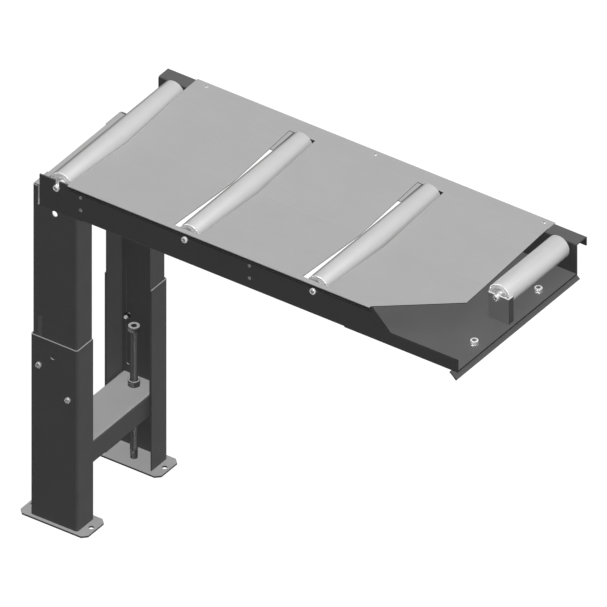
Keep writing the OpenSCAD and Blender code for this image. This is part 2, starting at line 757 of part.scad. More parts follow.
// Bearing housings pressed into the tube's ends
module roller_caps(i) {
    outer = roller_d - 2 * roller_wall - 2 * run_gap;
    color(steel) {
        near = tube_from(i) + cap_recess;
        ring_y(i, near, near + cap_face, outer, bearing_mouth_d);
        ring_y(i, near + cap_face - 0.01, near + cap_face + bearing_h, outer, bearing_d + 2 * run_gap);
        far = tube_to - cap_recess;
        ring_y(i, far - cap_face, far, outer, bearing_mouth_d);
        ring_y(i, far - cap_face - bearing_h, far - cap_face + 0.01, outer, bearing_d + 2 * run_gap);
    }
}

module roller_bearings(i) {
    color(zinc) {
        near = tube_from(i) + cap_recess + cap_face;
        ring_y(i, near, near + bearing_h, bearing_d, inner_ring_d + 2 * run_gap);
        far = tube_to - cap_recess - cap_face;
        ring_y(i, far - bearing_h, far, bearing_d, inner_ring_d + 2 * run_gap);
    }
}

module roller_inner_rings(i) {
    color(steel) {
        near = tube_from(i) + cap_recess + cap_face;
        ring_y(i, near, near + bearing_h, inner_ring_d, axle_d + 2 * run_gap);
        far = tube_to - cap_recess - cap_face;
        ring_y(i, far - bearing_h, far, inner_ring_d, axle_d + 2 * run_gap);
    }
}

lower_leg(-1);  // near_lower_leg
lower_leg(1);  // far_lower_leg
base_plate(-1);  // near_base_plate
base_plate(1);  // far_base_plate
clamp_screws();
clamp_nuts();
upper_leg(-1);  // near_upper_leg
upper_leg(1);  // far_upper_leg
leg_top_plates();
crossbar();
top_cross_member();
member_screws();
spindle_nuts();
spindle(-1);  // near_spindle
spindle(1);  // far_spindle
near_rail();
far_rail();
left_end_plate();
leg_bolts();
leg_nuts();
end_plate();
end_lip();
machine_bolts();
roller_bracket();
bracket_rivets();
tray();
tray_rib_1();
tray_rib_2();
tray_rivets();
tray_screws();
near_axle_screws();
far_axle_screws();
roller_axle(0);  // roller_1_axle
roller_tube(0);  // roller_1_tube
roller_caps(0);  // roller_1_caps
roller_bearings(0);  // roller_1_bearings
roller_inner_rings(0);  // roller_1_inner_rings
roller_axle(1);  // roller_2_axle
roller_tube(1);  // roller_2_tube
roller_caps(1);  // roller_2_caps
roller_bearings(1);  // roller_2_bearings
roller_inner_rings(1);  // roller_2_inner_rings
roller_axle(2);  // roller_3_axle
roller_tube(2);  // roller_3_tube
roller_caps(2);  // roller_3_caps
roller_bearings(2);  // roller_3_bearings
roller_inner_rings(2);  // roller_3_inner_rings
roller_axle(3);  // roller_4_axle
roller_tube(3);  // roller_4_tube
roller_caps(3);  // roller_4_caps
roller_bearings(3);  // roller_4_bearings
roller_inner_rings(3);  // roller_4_inner_rings
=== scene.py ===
# Roller conveyor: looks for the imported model, with threads, screw heads and finishes
import json
import math

import bpy
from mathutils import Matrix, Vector


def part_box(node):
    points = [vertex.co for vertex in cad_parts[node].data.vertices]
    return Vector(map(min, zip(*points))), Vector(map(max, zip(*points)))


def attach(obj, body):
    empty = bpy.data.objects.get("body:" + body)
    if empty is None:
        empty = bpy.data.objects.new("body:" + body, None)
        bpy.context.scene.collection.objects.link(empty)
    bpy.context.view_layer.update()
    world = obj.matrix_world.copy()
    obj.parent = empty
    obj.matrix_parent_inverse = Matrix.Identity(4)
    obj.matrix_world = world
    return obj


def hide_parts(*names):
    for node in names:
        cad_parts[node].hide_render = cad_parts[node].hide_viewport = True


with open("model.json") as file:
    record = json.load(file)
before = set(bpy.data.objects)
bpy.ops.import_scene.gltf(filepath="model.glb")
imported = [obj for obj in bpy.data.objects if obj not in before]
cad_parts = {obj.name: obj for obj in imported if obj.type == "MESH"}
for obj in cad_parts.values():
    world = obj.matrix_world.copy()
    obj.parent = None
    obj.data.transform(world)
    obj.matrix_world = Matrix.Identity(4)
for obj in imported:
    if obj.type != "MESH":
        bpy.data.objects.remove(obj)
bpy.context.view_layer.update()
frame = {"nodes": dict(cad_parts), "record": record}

MM = 0.001
ROLLERS = (1, 2, 3, 4)


def add_object(name, data):
    thing = bpy.data.objects.new(name, data)
    bpy.context.scene.collection.objects.link(thing)
    return thing


# Camera at the photograph's angle, orthographic like the photograph.
# The anchor is a point at the near leg's foot, in metres, and the pixel where the photograph shows it.
PHOTO_SIZE = 607
PX_PER_MM = 0.522
AZIMUTH = math.radians(35.0)
ELEVATION = math.radians(35.06)
ANCHOR = Vector((-0.0340, -0.14725, 0.005))
ANCHOR_PX = (40.3, 515.6)
CAMERA_DISTANCE = 3.0
CLIP = (0.1, 20)


def add_camera():
    """Orthographic camera that puts the anchor on its pixel."""
    back = Vector((
        math.sin(AZIMUTH) * math.cos(ELEVATION),
        -math.cos(AZIMUTH) * math.cos(ELEVATION),
        math.sin(ELEVATION),
    ))
    right = Vector((math.cos(AZIMUTH), math.sin(AZIMUTH), 0))
    up = back.cross(right)
    centre_right = (PHOTO_SIZE / 2 - ANCHOR_PX[0]) / PX_PER_MM
    centre_up = (ANCHOR_PX[1] - PHOTO_SIZE / 2) / PX_PER_MM
    data = bpy.data.cameras.new("camera")
    data.type = "ORTHO"
    data.ortho_scale = PHOTO_SIZE / PX_PER_MM * MM
    data.clip_start, data.clip_end = CLIP
    camera = add_object("camera", data)
    camera.rotation_mode = "QUATERNION"
    camera.rotation_quaternion = (-back).to_track_quat("-Z", "Y")
    camera.location = ANCHOR + right * centre_right * MM + up * centre_up * MM + back * CAMERA_DISTANCE
    bpy.context.scene.camera = camera


# Light: a broad fill from above on the machine's side, a soft key for shadows, little from the near side.
# The last one is a panel that only glossy surfaces reflect.
# Each row is name, direction to the light, level, softness in degrees, casts shadows, lights matt surfaces.
LIGHTS = (
    ("key", (0.1, -0.1, 1), 0.12, 60, True, True),
    ("fill", (0.45, 0, 0.89), 0.72, 20, False, True),
    ("front_fill", (0, -1, 0.1), 0.11, 40, False, True),
    ("panel", (0.1, -0.75, -0.65), 0.6, 100, False, False),
)
WORLD_LEVEL = 0.07
FLOOR_HALF_M = 6
FLOOR_DROP_M = 0.0005
FLOOR_TONE = 0.08
FLOOR_SHOWN = 0.98
WHITE = (1, 1, 1, 1)


def add_sun(name, direction, level, softness, shadow, matt):
    """Sun lamp; where matt is false, only glossy surfaces reflect it, and their own rays find it."""
    data = bpy.data.lights.new(name, "SUN")
    data.energy = level * math.pi
    data.angle = math.radians(softness)
    data.use_shadow = shadow
    data.cycles.use_multiple_importance_sampling = matt
    lamp = add_object(name, data)
    lamp.visible_diffuse = matt
    lamp.rotation_mode = "QUATERNION"
    lamp.rotation_quaternion = Vector(direction).to_track_quat("Z", "Y")


def combine(tree, operation, first, second):
    """Maths on two sockets, or on a socket and a number."""
    node = tree.nodes.new("ShaderNodeMath")
    node.operation = operation
    tree.links.new(first, node.inputs[0])
    if isinstance(second, (int, float)):
        node.inputs[1].default_value = second
    else:
        tree.links.new(second, node.inputs[1])
    return node.outputs[0]


def shown_rays(tree):
    """1 for camera, glossy and transmission rays, 0 for the rest."""
    path = tree.nodes.new("ShaderNodeLightPath")
    seen = combine(tree, "MAXIMUM", path.outputs["Is Camera Ray"], path.outputs["Is Glossy Ray"])
    return combine(tree, "MAXIMUM", seen, path.outputs["Is Transmission Ray"])


def add_world():
    """White where it shows, and a low level as light."""
    world = bpy.data.worlds.new("studio")
    bpy.context.scene.world = world
    world.use_nodes = True
    tree = world.node_tree
    tree.nodes.clear()
    mix = tree.nodes.new("ShaderNodeMixShader")
    tree.links.new(shown_rays(tree), mix.inputs[0])
    for socket, strength in ((mix.inputs[1], WORLD_LEVEL), (mix.inputs[2], 1)):
        background = tree.nodes.new("ShaderNodeBackground")
        background.inputs["Color"].default_value = WHITE
        background.inputs["Strength"].default_value = strength
        tree.links.new(background.outputs[0], socket)
    out = tree.nodes.new("ShaderNodeOutputWorld")
    tree.links.new(mix.outputs[0], out.inputs[0])


def add_floor():
    """A white studio floor that keeps a faint shadow."""
    half = FLOOR_HALF_M
    corners = [(-half, -half, 0), (half, -half, 0), (half, half, 0), (-half, half, 0)]
    mesh = bpy.data.meshes.new("floor")
    mesh.from_pydata(corners, [], [(0, 1, 2, 3)])
    floor = add_object("floor", mesh)
    floor.location.z = -FLOOR_DROP_M
    mat = bpy.data.materials.new("floor_white")
    mat.use_nodes = True
    tree = mat.node_tree
    tree.nodes.clear()
    paper = tree.nodes.new("ShaderNodeBsdfDiffuse")
    paper.inputs["Color"].default_value = (FLOOR_TONE, FLOOR_TONE, FLOOR_TONE, 1)
    glow = tree.nodes.new("ShaderNodeEmission")
    glow.inputs["Color"].default_value = WHITE
    tree.links.new(combine(tree, "MULTIPLY", shown_rays(tree), FLOOR_SHOWN), glow.inputs["Strength"])
    total = tree.nodes.new("ShaderNodeAddShader")
    out = tree.nodes.new("ShaderNodeOutputMaterial")
    tree.links.new(paper.outputs[0], total.inputs[0])
    tree.links.new(glow.outputs[0], total.inputs[1])
    tree.links.new(total.outputs[0], out.inputs[0])
    mesh.materials.append(mat)


# Node helpers for the finishes
NOISE_ROUGHNESS = 0.55
BOX_FADE_MM = 0.4


def new_material(name):
    mat = bpy.data.materials.new(name)
    mat.use_nodes = True
    tree = mat.node_tree
    return mat, tree, tree.nodes["Principled BSDF"]


def surface_place(tree, scale=(1, 1, 1)):
    """Object coordinates in millimetres, stretched by scale."""
    coord = tree.nodes.new("ShaderNodeTexCoord")
    place = tree.nodes.new("ShaderNodeMapping")
    place.inputs["Scale"].default_value = [s / MM for s in scale]
    tree.links.new(coord.outputs["Object"], place.inputs["Vector"])
    return place.outputs[0]


def noise(tree, vector, size_mm, detail=3):
    node = tree.nodes.new("ShaderNodeTexNoise")
    node.inputs["Scale"].default_value = 1 / size_mm
    node.inputs["Detail"].default_value = detail
    node.inputs["Roughness"].default_value = NOISE_ROUGHNESS
    tree.links.new(vector, node.inputs["Vector"])
    return node.outputs["Fac"]


def spread(tree, value, low, high, from_low=0.3, from_high=0.7):
    """Value mapped from its middle range, or the range given, to low..high."""
    node = tree.nodes.new("ShaderNodeMapRange")
    node.inputs["From Min"].default_value = from_low
    node.inputs["From Max"].default_value = from_high
    node.inputs["To Min"].default_value = low
    node.inputs["To Max"].default_value = high
    tree.links.new(value, node.inputs["Value"])
    return node.outputs[0]


def mix_colour(tree, factor, first, second):
    """Mix of two colours, each a grey level or a socket."""
    node = tree.nodes.new("ShaderNodeMix")
    node.data_type = "RGBA"
    tree.links.new(factor, node.inputs[0])
    for socket, value in ((node.inputs[6], first), (node.inputs[7], second)):
        if isinstance(value, (int, float)):
            socket.default_value = (value, value, value, 1)
        else:
            tree.links.new(value, socket)
    return node.outputs[2]


def uneven(tree, factor, tone, share):
    """A grey level that varies by a share of itself, never above white."""
    return mix_colour(tree, factor, tone * (1 - share), min(1.0, tone * (1 + share)))


def add_bump(tree, shader, height, depth_mm, strength=0.4):
    node = tree.nodes.new("ShaderNodeBump")
    node.inputs["Strength"].default_value = strength
    node.inputs["Distance"].default_value = depth_mm * MM
    tree.links.new(height, node.inputs["Height"])
    tree.links.new(node.outputs[0], shader.inputs["Normal"])


def facing(tree, axis, sign, start=0.75, end=0.95):
    """0 on most surfaces, 1 on those that face along an axis."""
    geometry = tree.nodes.new("ShaderNodeNewGeometry")
    split = tree.nodes.new("ShaderNodeSeparateXYZ")
    tree.links.new(geometry.outputs["Normal"], split.inputs[0])
    return spread(tree, split.outputs[axis], 0, 1, sign * start, sign * end)


def within(tree, bounds):
    """1 inside a box given as (axis, low, high) in millimetres, 0 outside."""
    split = tree.nodes.new("ShaderNodeSeparateXYZ")
    tree.links.new(surface_place(tree), split.inputs[0])
    inside = None
    for axis, low, high in bounds:
        for edge, step in ((low, BOX_FADE_MM), (high, -BOX_FADE_MM)):
            side = spread(tree, split.outputs[axis], 0, 1, edge, edge + step)
            inside = side if inside is None else combine(tree, "MULTIPLY", inside, side)
    return inside


# Boxes in millimetres: painted shade on the strip of the near wall under the tray's curl, on the end plate's
# cut edge above the lip and on the cut edge on top of the near wall's low stretch; the roller at the
# machine, for painted light, and the tray, for painted shade
CURL_STRIP = (("X", 32, 738.5), ("Y", -149, -147.5), ("Z", 793, 806))
END_PLATE_EDGE = (("X", 942, 943.5), ("Y", -150, 260), ("Z", 732, 736.6))
LOW_WALL_EDGE = (("X", 738, 943), ("Y", -147.9, -145.1), ("Z", 737, 806))
END_ROLLER_BOX = (("X", 870, 940),)
TRAY_BOX = (("X", 0, 950), ("Y", -160, 260), ("Z", 700, 850))
PAINTED_SHADE_BOXES = (CURL_STRIP, END_PLATE_EDGE, LOW_WALL_EDGE)


# Finishes: the tones are linear grey levels. Metallic, gloss and bump are set for each kind.
def powder_coat(name, wall, top, side, painted_shade_boxes=()):
    """Fine orange-peel paint; what faces up takes the top tone, a painted light; side scales the tone of
    what faces +X, a painted light above 1 and a painted shade below 1; the boxes given last get painted
    shade at 0.12 of the wall tone.
    """
    mat, tree, shader = new_material(name)
    place = surface_place(tree)
    patches = spread(tree, noise(tree, place, size_mm=60), 0, 1)
    grain = noise(tree, place, size_mm=0.8, detail=4)
    wall_tone = uneven(tree, patches, wall, 0.04)
    side_tone = uneven(tree, patches, wall * side, 0.04)
    top_tone = uneven(tree, patches, top, 0.03)
    # Painted light and shade by the way a face points: +X faces scaled by side, up faces take the top tone
    tone = mix_colour(tree, facing(tree, "X", 1), wall_tone, side_tone)
    tone = mix_colour(tree, facing(tree, "Z", 1, 0.55, 0.8), tone, top_tone)
    # Painted shade: each box is darkened to 0.12 of the wall tone
    for bounds in painted_shade_boxes:
        tone = mix_colour(tree, within(tree, bounds), tone, wall * 0.12)
    tree.links.new(tone, shader.inputs["Base Color"])
    tree.links.new(spread(tree, grain, 0.52, 0.64), shader.inputs["Roughness"])
    shader.inputs["Specular IOR Level"].default_value = 0.08
    add_bump(tree, shader, grain, depth_mm=0.05)
    return mat


def sheet_steel(name, tone):
    """Pale matt sheet with faint rolling marks along the conveyor.

    Painted shade: cut edges and other faces that face the near side are near black, and on the tray those
    facing the machine are dark.
    """
    mat, tree, shader = new_material(name)
    streaks = noise(tree, surface_place(tree, (0.04, 1, 1)), size_mm=1.6)
    clouds = spread(tree, noise(tree, surface_place(tree), size_mm=90, detail=4), 0, 1)
    light = mix_colour(tree, clouds, tone * 1.02, tone * 1.05)
    dark = mix_colour(tree, clouds, tone * 0.96, tone * 0.99)
    face = mix_colour(tree, spread(tree, streaks, 0, 1), dark, light)
    # Painted shade on the tray's faces that face the machine
    tray_edge_painted_shade = combine(tree, "MULTIPLY", facing(tree, "X", 1, 0.5, 0.7), within(tree, TRAY_BOX))
    face = mix_colour(tree, tray_edge_painted_shade, face, tone * 0.1)
    # Painted shade, near black, on faces that face the near side
    near_side_painted_shade = facing(tree, "Y", -1, 0.6, 0.85)
    tree.links.new(mix_colour(tree, near_side_painted_shade, face, tone * 0.01), shader.inputs["Base Color"])
    tree.links.new(spread(tree, near_side_painted_shade, 0.15, 0), shader.inputs["Metallic"])
    tree.links.new(spread(tree, streaks, 0.5, 0.6), shader.inputs["Roughness"])
    shader.inputs["Specular IOR Level"].default_value = 0.1
    add_bump(tree, shader, streaks, depth_mm=0.01)
    return mat


def bright_metal(name, tone, metallic, rough, top=1.0):
    """Plated or ground steel with small uneven patches; the mesh's painted shade value darkens it toward a
    quarter of its tone.

    top scales the tone of what faces up, a painted highlight, as on the spindle's head and nuts.
    """
    mat, tree, shader = new_material(name)
    grain = noise(tree, surface_place(tree), size_mm=1.5, detail=4)
    plain = uneven(tree, spread(tree, grain, 0, 1), tone, 0.06)
    # Painted highlight: what faces up is scaled by top
    up = facing(tree, "Z", 1, 0.8, 0.95)
    toned = mix_colour(tree, up, plain, min(0.95, tone * top))
    # Painted shade from the mesh, in sockets, recesses and on faces that stay in shade
    painted_shade = tree.nodes.new("ShaderNodeAttribute")
    painted_shade.attribute_name = "painted_shade"
    tree.links.new(mix_colour(tree, painted_shade.outputs["Fac"], toned, tone * 0.25), shader.inputs["Base Color"])
    tree.links.new(spread(tree, up, metallic, metallic * 0.3), shader.inputs["Metallic"])
    tree.links.new(spread(tree, grain, rough - 0.05, rough + 0.05), shader.inputs["Roughness"])
    add_bump(tree, shader, grain, depth_mm=0.01, strength=0.3)
    return mat


def tube_steel(name, tone):
    """Satin tube with fine marks round it; its ends that face the near side are more metallic and lighter, a
    painted highlight.

    Painted shade darkens the rollers on the side away from the machine, except the one at the machine, whose
    flanks get painted light instead.
    """
    mat, tree, shader = new_material(name)
    rings = noise(tree, surface_place(tree, (0.05, 1, 0.05)), size_mm=0.7, detail=2)
    clouds = noise(tree, surface_place(tree), size_mm=35)
    wall = uneven(tree, spread(tree, clouds, 0, 1), tone, 0.02)
    # Painted shade on the side away from the machine; painted light on both flanks of the roller at the
    # machine
    painted_shade = mix_colour(tree, facing(tree, "X", -1, 0.3, 0.55), wall, tone * 0.4)
    painted_light_flanks = mix_colour(tree, facing(tree, "X", 1, 0.5, 0.9), wall, tone * 1.25)
    painted_light_flanks = mix_colour(tree, facing(tree, "X", -1, 0.2, 0.6), painted_light_flanks, tone * 1.25)
    wall = mix_colour(tree, within(tree, END_ROLLER_BOX), painted_shade, painted_light_flanks)
    # Painted highlight: what faces the near side is lighter, with more metal
    near_ends_metal_and_highlight = facing(tree, "Y", -1, 0.5, 0.8)
    tree.links.new(mix_colour(tree, near_ends_metal_and_highlight, wall, 0.85), shader.inputs["Base Color"])
    tree.links.new(spread(tree, near_ends_metal_and_highlight, 0.15, 0.95), shader.inputs["Metallic"])
    tree.links.new(spread(tree, rings, 0.45, 0.55), shader.inputs["Roughness"])
    shader.inputs["Specular IOR Level"].default_value = 0.2
    add_bump(tree, shader, rings, depth_mm=0.01, strength=0.25)
    return mat


MATERIALS = {
    # Painted light and shade: top is the lit tone of what faces up; side makes +X faces lighter on the table
    # paint and darker, a painted shade, on the bracket
    "stand_paint": powder_coat("stand_paint", wall=0.112, top=0.42, side=1.05),
    "table_paint": powder_coat("table_paint", wall=0.086, top=0.145, side=1.4, painted_shade_boxes=PAINTED_SHADE_BOXES),
    "bracket_paint": powder_coat("bracket_paint", wall=0.37, top=0.9, side=0.25),
    "grey_sheet": sheet_steel("grey_sheet", tone=0.485),
    "zinc": bright_metal("zinc", tone=0.95, metallic=0.4, rough=0.4),
    "rivet_steel": bright_metal("rivet_steel", tone=0.14, metallic=0.3, rough=0.5),
    # The spindle steel's top value paints a highlight on what faces up
    "spindle_steel": bright_metal("spindle_steel", tone=0.055, metallic=0.3, rough=0.45, top=10),
    "bright_steel": bright_metal("bright_steel", tone=0.95, metallic=0.9, rough=0.3),
    "roller_steel": tube_steel("roller_steel", tone=0.66),
    "roller_cap": bright_metal("roller_cap", tone=0.6, metallic=0.45, rough=0.5),
}


def finish_node(node, slot):
    """Gives a carried-over part its finish in every slot of its mesh."""
    materials = frame["nodes"][node].data.materials
    if not materials:
        materials.append(MATERIALS[slot])
    for i in range(len(materials)):
        materials[i] = MATERIALS[slot]


# Solids built ring by ring along an axis: each ring is (place in mm, radius in mm or a function)
RING = 48
THREAD_RINGS = 4
HEX_SIDE = math.radians(60)
HEX_FACE = 0.96
HEX_SLOPE = 1.6
KNURL_DEPTH = 0.18
SHARP_ANGLE = math.radians(32)


def hexagon(across_flats, limit=math.inf):
    """Radius of a hexagon at an angle, cut back to a circle."""
    def radius(angle, place):
        return min(limit, across_flats / 2 / math.cos(angle % HEX_SIDE - HEX_SIDE / 2))
    return radius


def knurled(radius, depth):
    """Radius of a knurled head: every second line is a groove."""
    return lambda angle, place: radius - depth * (round(angle / math.tau * RING) % 2)


def thread(start, end, radius, pitch, depth):
    """Rings of a helical thread between two places."""
    def height(angle, place):
        turn = (place / pitch - angle / math.tau) % 1
        return radius - depth * abs(2 * turn - 1)
    steps = int((end - start) / pitch * THREAD_RINGS)
    return [(start + i * pitch / THREAD_RINGS, height) for i in range(steps + 1)]


def hex_end(across_flats, face, step):
    """Rings of a hexagon's chamfered end, from its face inwards; step is the way into the metal."""
    round_r = across_flats / 2 * HEX_FACE
    return [(face + step * t, hexagon(across_flats, round_r + t * HEX_SLOPE)) for t in (0, 0.4, 0.8, 1.2)]


class Shape:
    """Vertices and faces of one detail piece, in metres."""

    def __init__(self):
        self.points = []
        self.painted_shade = []
        self.faces = []

    def turn(self, origin, axis, rings, closed=False, painted_shade=0):
        """Adds a solid of rings along the axis from the origin; closed joins the last ring to the first.

        A ring's third value is how much painted shade darkens it, such as 1 in a socket; the last argument
        is for the rings without one.
        """
        origin = Vector(origin)
        axis = Vector(axis)
        across = Vector((0, 1, 0)) if abs(axis.x) > 0.5 else Vector((1, 0, 0))
        third = axis.cross(across)
        first = len(self.points)
        for place, radius, *own in rings:
            self.painted_shade += [own[0] if own else painted_shade] * RING
            for j in range(RING):
                angle = math.tau * j / RING
                r = radius(angle, place) if callable(radius) else radius
                spot = origin + axis * place + across * r * math.cos(angle) + third * r * math.sin(angle)
                self.points.append(spot * MM)
        count = len(rings)
        for i in range(count if closed else count - 1):
            low = first + i * RING
            high = first + (i + 1) % count * RING
            for j in range(RING):
                k = (j + 1) % RING
                self.faces.append((low + j, low + k, high + k, high + j))
        if not closed:
            self.faces.append([first + j for j in reversed(range(RING))])
            self.faces.append([first + (count - 1) * RING + j for j in range(RING)])

    def place(self, name, body, slot, *nodes):
        """Makes the object; it rides on the body and stands for the nodes."""
        mesh = bpy.data.meshes.new(name)
        mesh.from_pydata(self.points, [], self.faces)
        mesh.polygons.foreach_set("use_smooth", [True] * len(mesh.polygons))
        mesh.set_sharp_from_angle(angle=SHARP_ANGLE)
        # Painted shade: each point's darkening goes to the material as an attribute
        mesh.attributes.new("painted_shade", "FLOAT", "POINT").data.foreach_set("value", self.painted_shade)
        mesh.materials.append(MATERIALS[slot])
        piece = add_object(name, mesh)
        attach(piece, body)
        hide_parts(*nodes)


def box_mm(node):
    """A node's lowest and highest corners, in millimetres."""
    low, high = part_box(node)
    return Vector(low) / MM, Vector(high) / MM


# Fasteners, in millimetres. The origin is the middle of the head's outer face, the axis points to the tip.
# Round heads and sockets are (width, depth), hexagon heads and nuts (across flats, height), and threads
# (diameter, pitch).
# Painted shade values are (flat end, side) of a head; single values darken a whole nut, dome or bearing, and
# sockets get full painted shade.
M5 = (5, 0.8)
M8 = (8, 1.25)
M10 = (10, 1.5)
M8_BORE = 4.05
AXLE_HEAD = (13, 5)
AXLE_SOCKET = (6, 3)
AXLE_SCREW_LENGTH = 18
CLAMP_HEAD = (12, 5.5)
CLAMP_SOCKET = (6, 3.2)
CLAMP_NUT = (13, 6.5)
MACHINE_HEAD = (16, 10)
MACHINE_SOCKET = (8, 5)
TRAY_HEAD = (9, 2)
TRAY_SOCKET = (2.5, 0.7)
LEG_BOLT_HEAD = (12.47, 5)
LEG_BOLT_HEAD_CORNERS = 14.4
LEG_NUT_FLATS = 12.99
MEMBER_HEAD = (12, 1.6)
MEMBER_R = 3
MEMBER_GRIP = 5
RIVET_HEAD = (8, 1.6)
RIVET_R = 2.5
SPINDLE_HEAD = (23.38, 10)
SPINDLE_SOCKET = (10, 5)
SPINDLE_R = 8
SPINDLE_CORE_R = 7.4
SPINDLE_PITCH = 2
SPINDLE_THREAD_DEPTH = 1.1
SPINDLE_BORE = 8.05
THREAD_END_Z = 24
FOOT_TOP_Z = 4.05
FOOT_R = 5
SOCKET_SHADE = 1
WALL_SCREW_SHADE = (0.75, 0)
CLAMP_SCREW_SHADE = (1, 0.5)
CLAMP_NUT_SHADE = 1
MACHINE_BOLT_SHADE = (0, 0)
DOME_SHADE = 0.5
BEARING_SHADE = 0.65


def shank(start, end, size):
    """Thread from under the head to a chamfered tip."""
    radius = size[0] / 2
    pitch = size[1]
    depth = pitch * 0.45
    rings = [(start, radius), (start + 1.2 * pitch, radius)]
    rings += thread(start + 1.5 * pitch, end - 1.2 * pitch, radius, pitch, depth)
    return rings + [(end - depth, radius - depth * 0.5), (end, radius - 1.4 * depth)]


def socket_screw(shape, origin, axis, head, socket, size, length, painted_shade=WALL_SCREW_SHADE):
    """Screw with a knurled round head."""
    width, deep = head
    r = width / 2
    hollow = hexagon(socket[0])
    mouth = socket[0] / 2 / math.cos(HEX_SIDE / 2) + 0.3
    shape.turn(origin, axis, [
        (socket[1], hollow, SOCKET_SHADE), (0.3, hollow, SOCKET_SHADE),
        (0, mouth, painted_shade[0]), (0, r - 0.9, painted_shade[0]), (0.35, r - 0.25),
        (0.9, knurled(r, 0)), (1.1, knurled(r, KNURL_DEPTH)), (deep - 0.5, knurled(r, KNURL_DEPTH)),
        (deep, r - 0.3),
    ] + shank(deep, deep + length, size), painted_shade=painted_shade[1])


def button_screw(shape, origin, axis, head, socket, size, length):
    """Screw with a domed head and a small socket."""
    width, deep = head
    bow = [math.radians(a) for a in (38, 52, 66, 80, 90)]
    dome = [(deep * (1 - math.cos(a)), width / 2 * math.sin(a), DOME_SHADE) for a in bow]
    low = dome[0][0]
    hollow = hexagon(socket[0])
    rings = [(low + socket[1], hollow, SOCKET_SHADE), (low + 0.1, hollow, SOCKET_SHADE)] + dome
    shape.turn(origin, axis, rings + shank(deep, deep + length, size))


def hex_bolt(shape, origin, axis, head, size, length):
    """Bolt with a chamfered hexagon head, given as (across flats, height)."""
    flats, deep = head
    rings = hex_end(flats, 0, 1) + [(deep, hexagon(flats))]
    shape.turn(origin, axis, rings + shank(deep, deep + length, size))


def nut(shape, origin, axis, across_flats, height, bore, painted_shade=0):
    """Chamfered nut; the origin is the middle of one face, the axis points through it."""
    far_end = list(reversed(hex_end(across_flats, height, -1)))
    shape.turn(origin, axis, hex_end(across_flats, 0, 1) + far_end + [
        (height, bore + 0.9), (height - 0.8, bore), (0.8, bore), (0, bore + 0.9),
    ], closed=True, painted_shade=painted_shade)


def rivet(shape, origin, axis, head, grip, radius):
    """Shank with the same domed head at both ends."""
    width, deep = head
    bow = [(math.cos(math.radians(a)), math.sin(math.radians(a))) for a in (10, 30, 50, 70, 90)]
    far_end = deep + grip
    shape.turn(origin, axis, [(deep * (1 - c), width / 2 * s) for c, s in bow]
               + [(deep, radius), (far_end, radius)]
               + [(far_end + deep * c, width / 2 * s) for c, s in reversed(bow)])


# Places in the CAD, in millimetres: the outer faces of both rails, the rivets' places along them and under
# their top, (sideways, height) of the clamp screws in a leg, where their tips end, and the leg bolts' line
NEAR = (0, -1, 0)
FAR = (0, 1, 0)
UP = (0, 0, 1)
DOWN = (0, 0, -1)
WEB_T = 3
FAR_FLANGE_W = 32
NEAR_Y = box_mm("near_rail")[0].y
RAIL_TOP = box_mm("near_rail")[1].z
FAR_Y = box_mm("far_rail")[1].y - FAR_FLANGE_W
RIVET_DROP = (17.5, 46.5)
CLAMPS = ((-34, 361), (34, 305.5))
CLAMP_TIP_Y = 136
LEG_BOLT_Y = (-122.75, 122.75)


def middle_x(node):
    low, high = box_mm(node)
    return (low.x + high.x) / 2


def middle_z(node):
    low, high = box_mm(node)
    return (low.z + high.z) / 2


RIVET_X = (middle_x("tray_rib_1"), middle_x("tray_rib_2"))


def add_spindle(side):
    """Jack spindle with a threaded shaft, a chamfered head and a plain foot that turns in the base plate."""
    low, high = box_mm(side + "_spindle")
    middle = (low + high) / 2
    flats, head = SPINDLE_HEAD
    hollow = hexagon(SPINDLE_SOCKET[0])

    def down_to(z):
        return high.z - z

    rings = [(SPINDLE_SOCKET[1], hollow, SOCKET_SHADE), (0.4, hollow, SOCKET_SHADE), (0, 6.6)]
    rings += hex_end(flats, 0, 1)
    rings += [(head - 0.8, hexagon(flats)), (head, hexagon(flats, 12.2))]
    rings += [(head, 9.2), (head + 1.5, SPINDLE_R)]
    rings += thread(head + 2, down_to(THREAD_END_Z), SPINDLE_R, SPINDLE_PITCH, SPINDLE_THREAD_DEPTH)
    rings += [(down_to(THREAD_END_Z - 1), SPINDLE_CORE_R), (down_to(FOOT_TOP_Z), SPINDLE_CORE_R)]
    rings += [(down_to(FOOT_TOP_Z), FOOT_R), (down_to(0.9), FOOT_R), (down_to(low.z), FOOT_R - 0.6)]
    shape = Shape()
    shape.turn((middle.x, middle.y, high.z), DOWN, rings)
    shape.place(side + "_spindle_threaded", side + "_jack", "spindle_steel", side + "_spindle")


def add_spindle_nuts():
    nuts = Shape()
    low, high = box_mm("spindle_nuts")
    for side in ("near", "far"):
        middle = sum(box_mm(side + "_spindle"), Vector()) / 2
        nut(nuts, (middle.x, middle.y, low.z), UP, SPINDLE_HEAD[0], high.z - low.z, SPINDLE_BORE)
    nuts.place("spindle_nuts_chamfered", "table", "spindle_steel", "spindle_nuts")


def add_clamps():
    """Two screws with their nuts in each leg, mirrored through the stand's middle."""
    screws = Shape()
    nuts = Shape()
    head_y = box_mm("clamp_screws")[1].y
    nut_y = box_mm("clamp_nuts")[1].y
    length = head_y - CLAMP_HEAD[1] - CLAMP_TIP_Y
    for sign in (-1, 1):
        inward = (0, -sign, 0)
        for x, z in CLAMPS:
            place = (-sign * x, sign * head_y, z)
            socket_screw(screws, place, inward, CLAMP_HEAD, CLAMP_SOCKET, M8, length, CLAMP_SCREW_SHADE)
            nut(nuts, (-sign * x, sign * nut_y, z), inward, *CLAMP_NUT, M8_BORE, CLAMP_NUT_SHADE)
    screws.place("clamp_screws_threaded", "base", "zinc", "clamp_screws")
    nuts.place("clamp_nuts_chamfered", "base", "spindle_steel", "clamp_nuts")


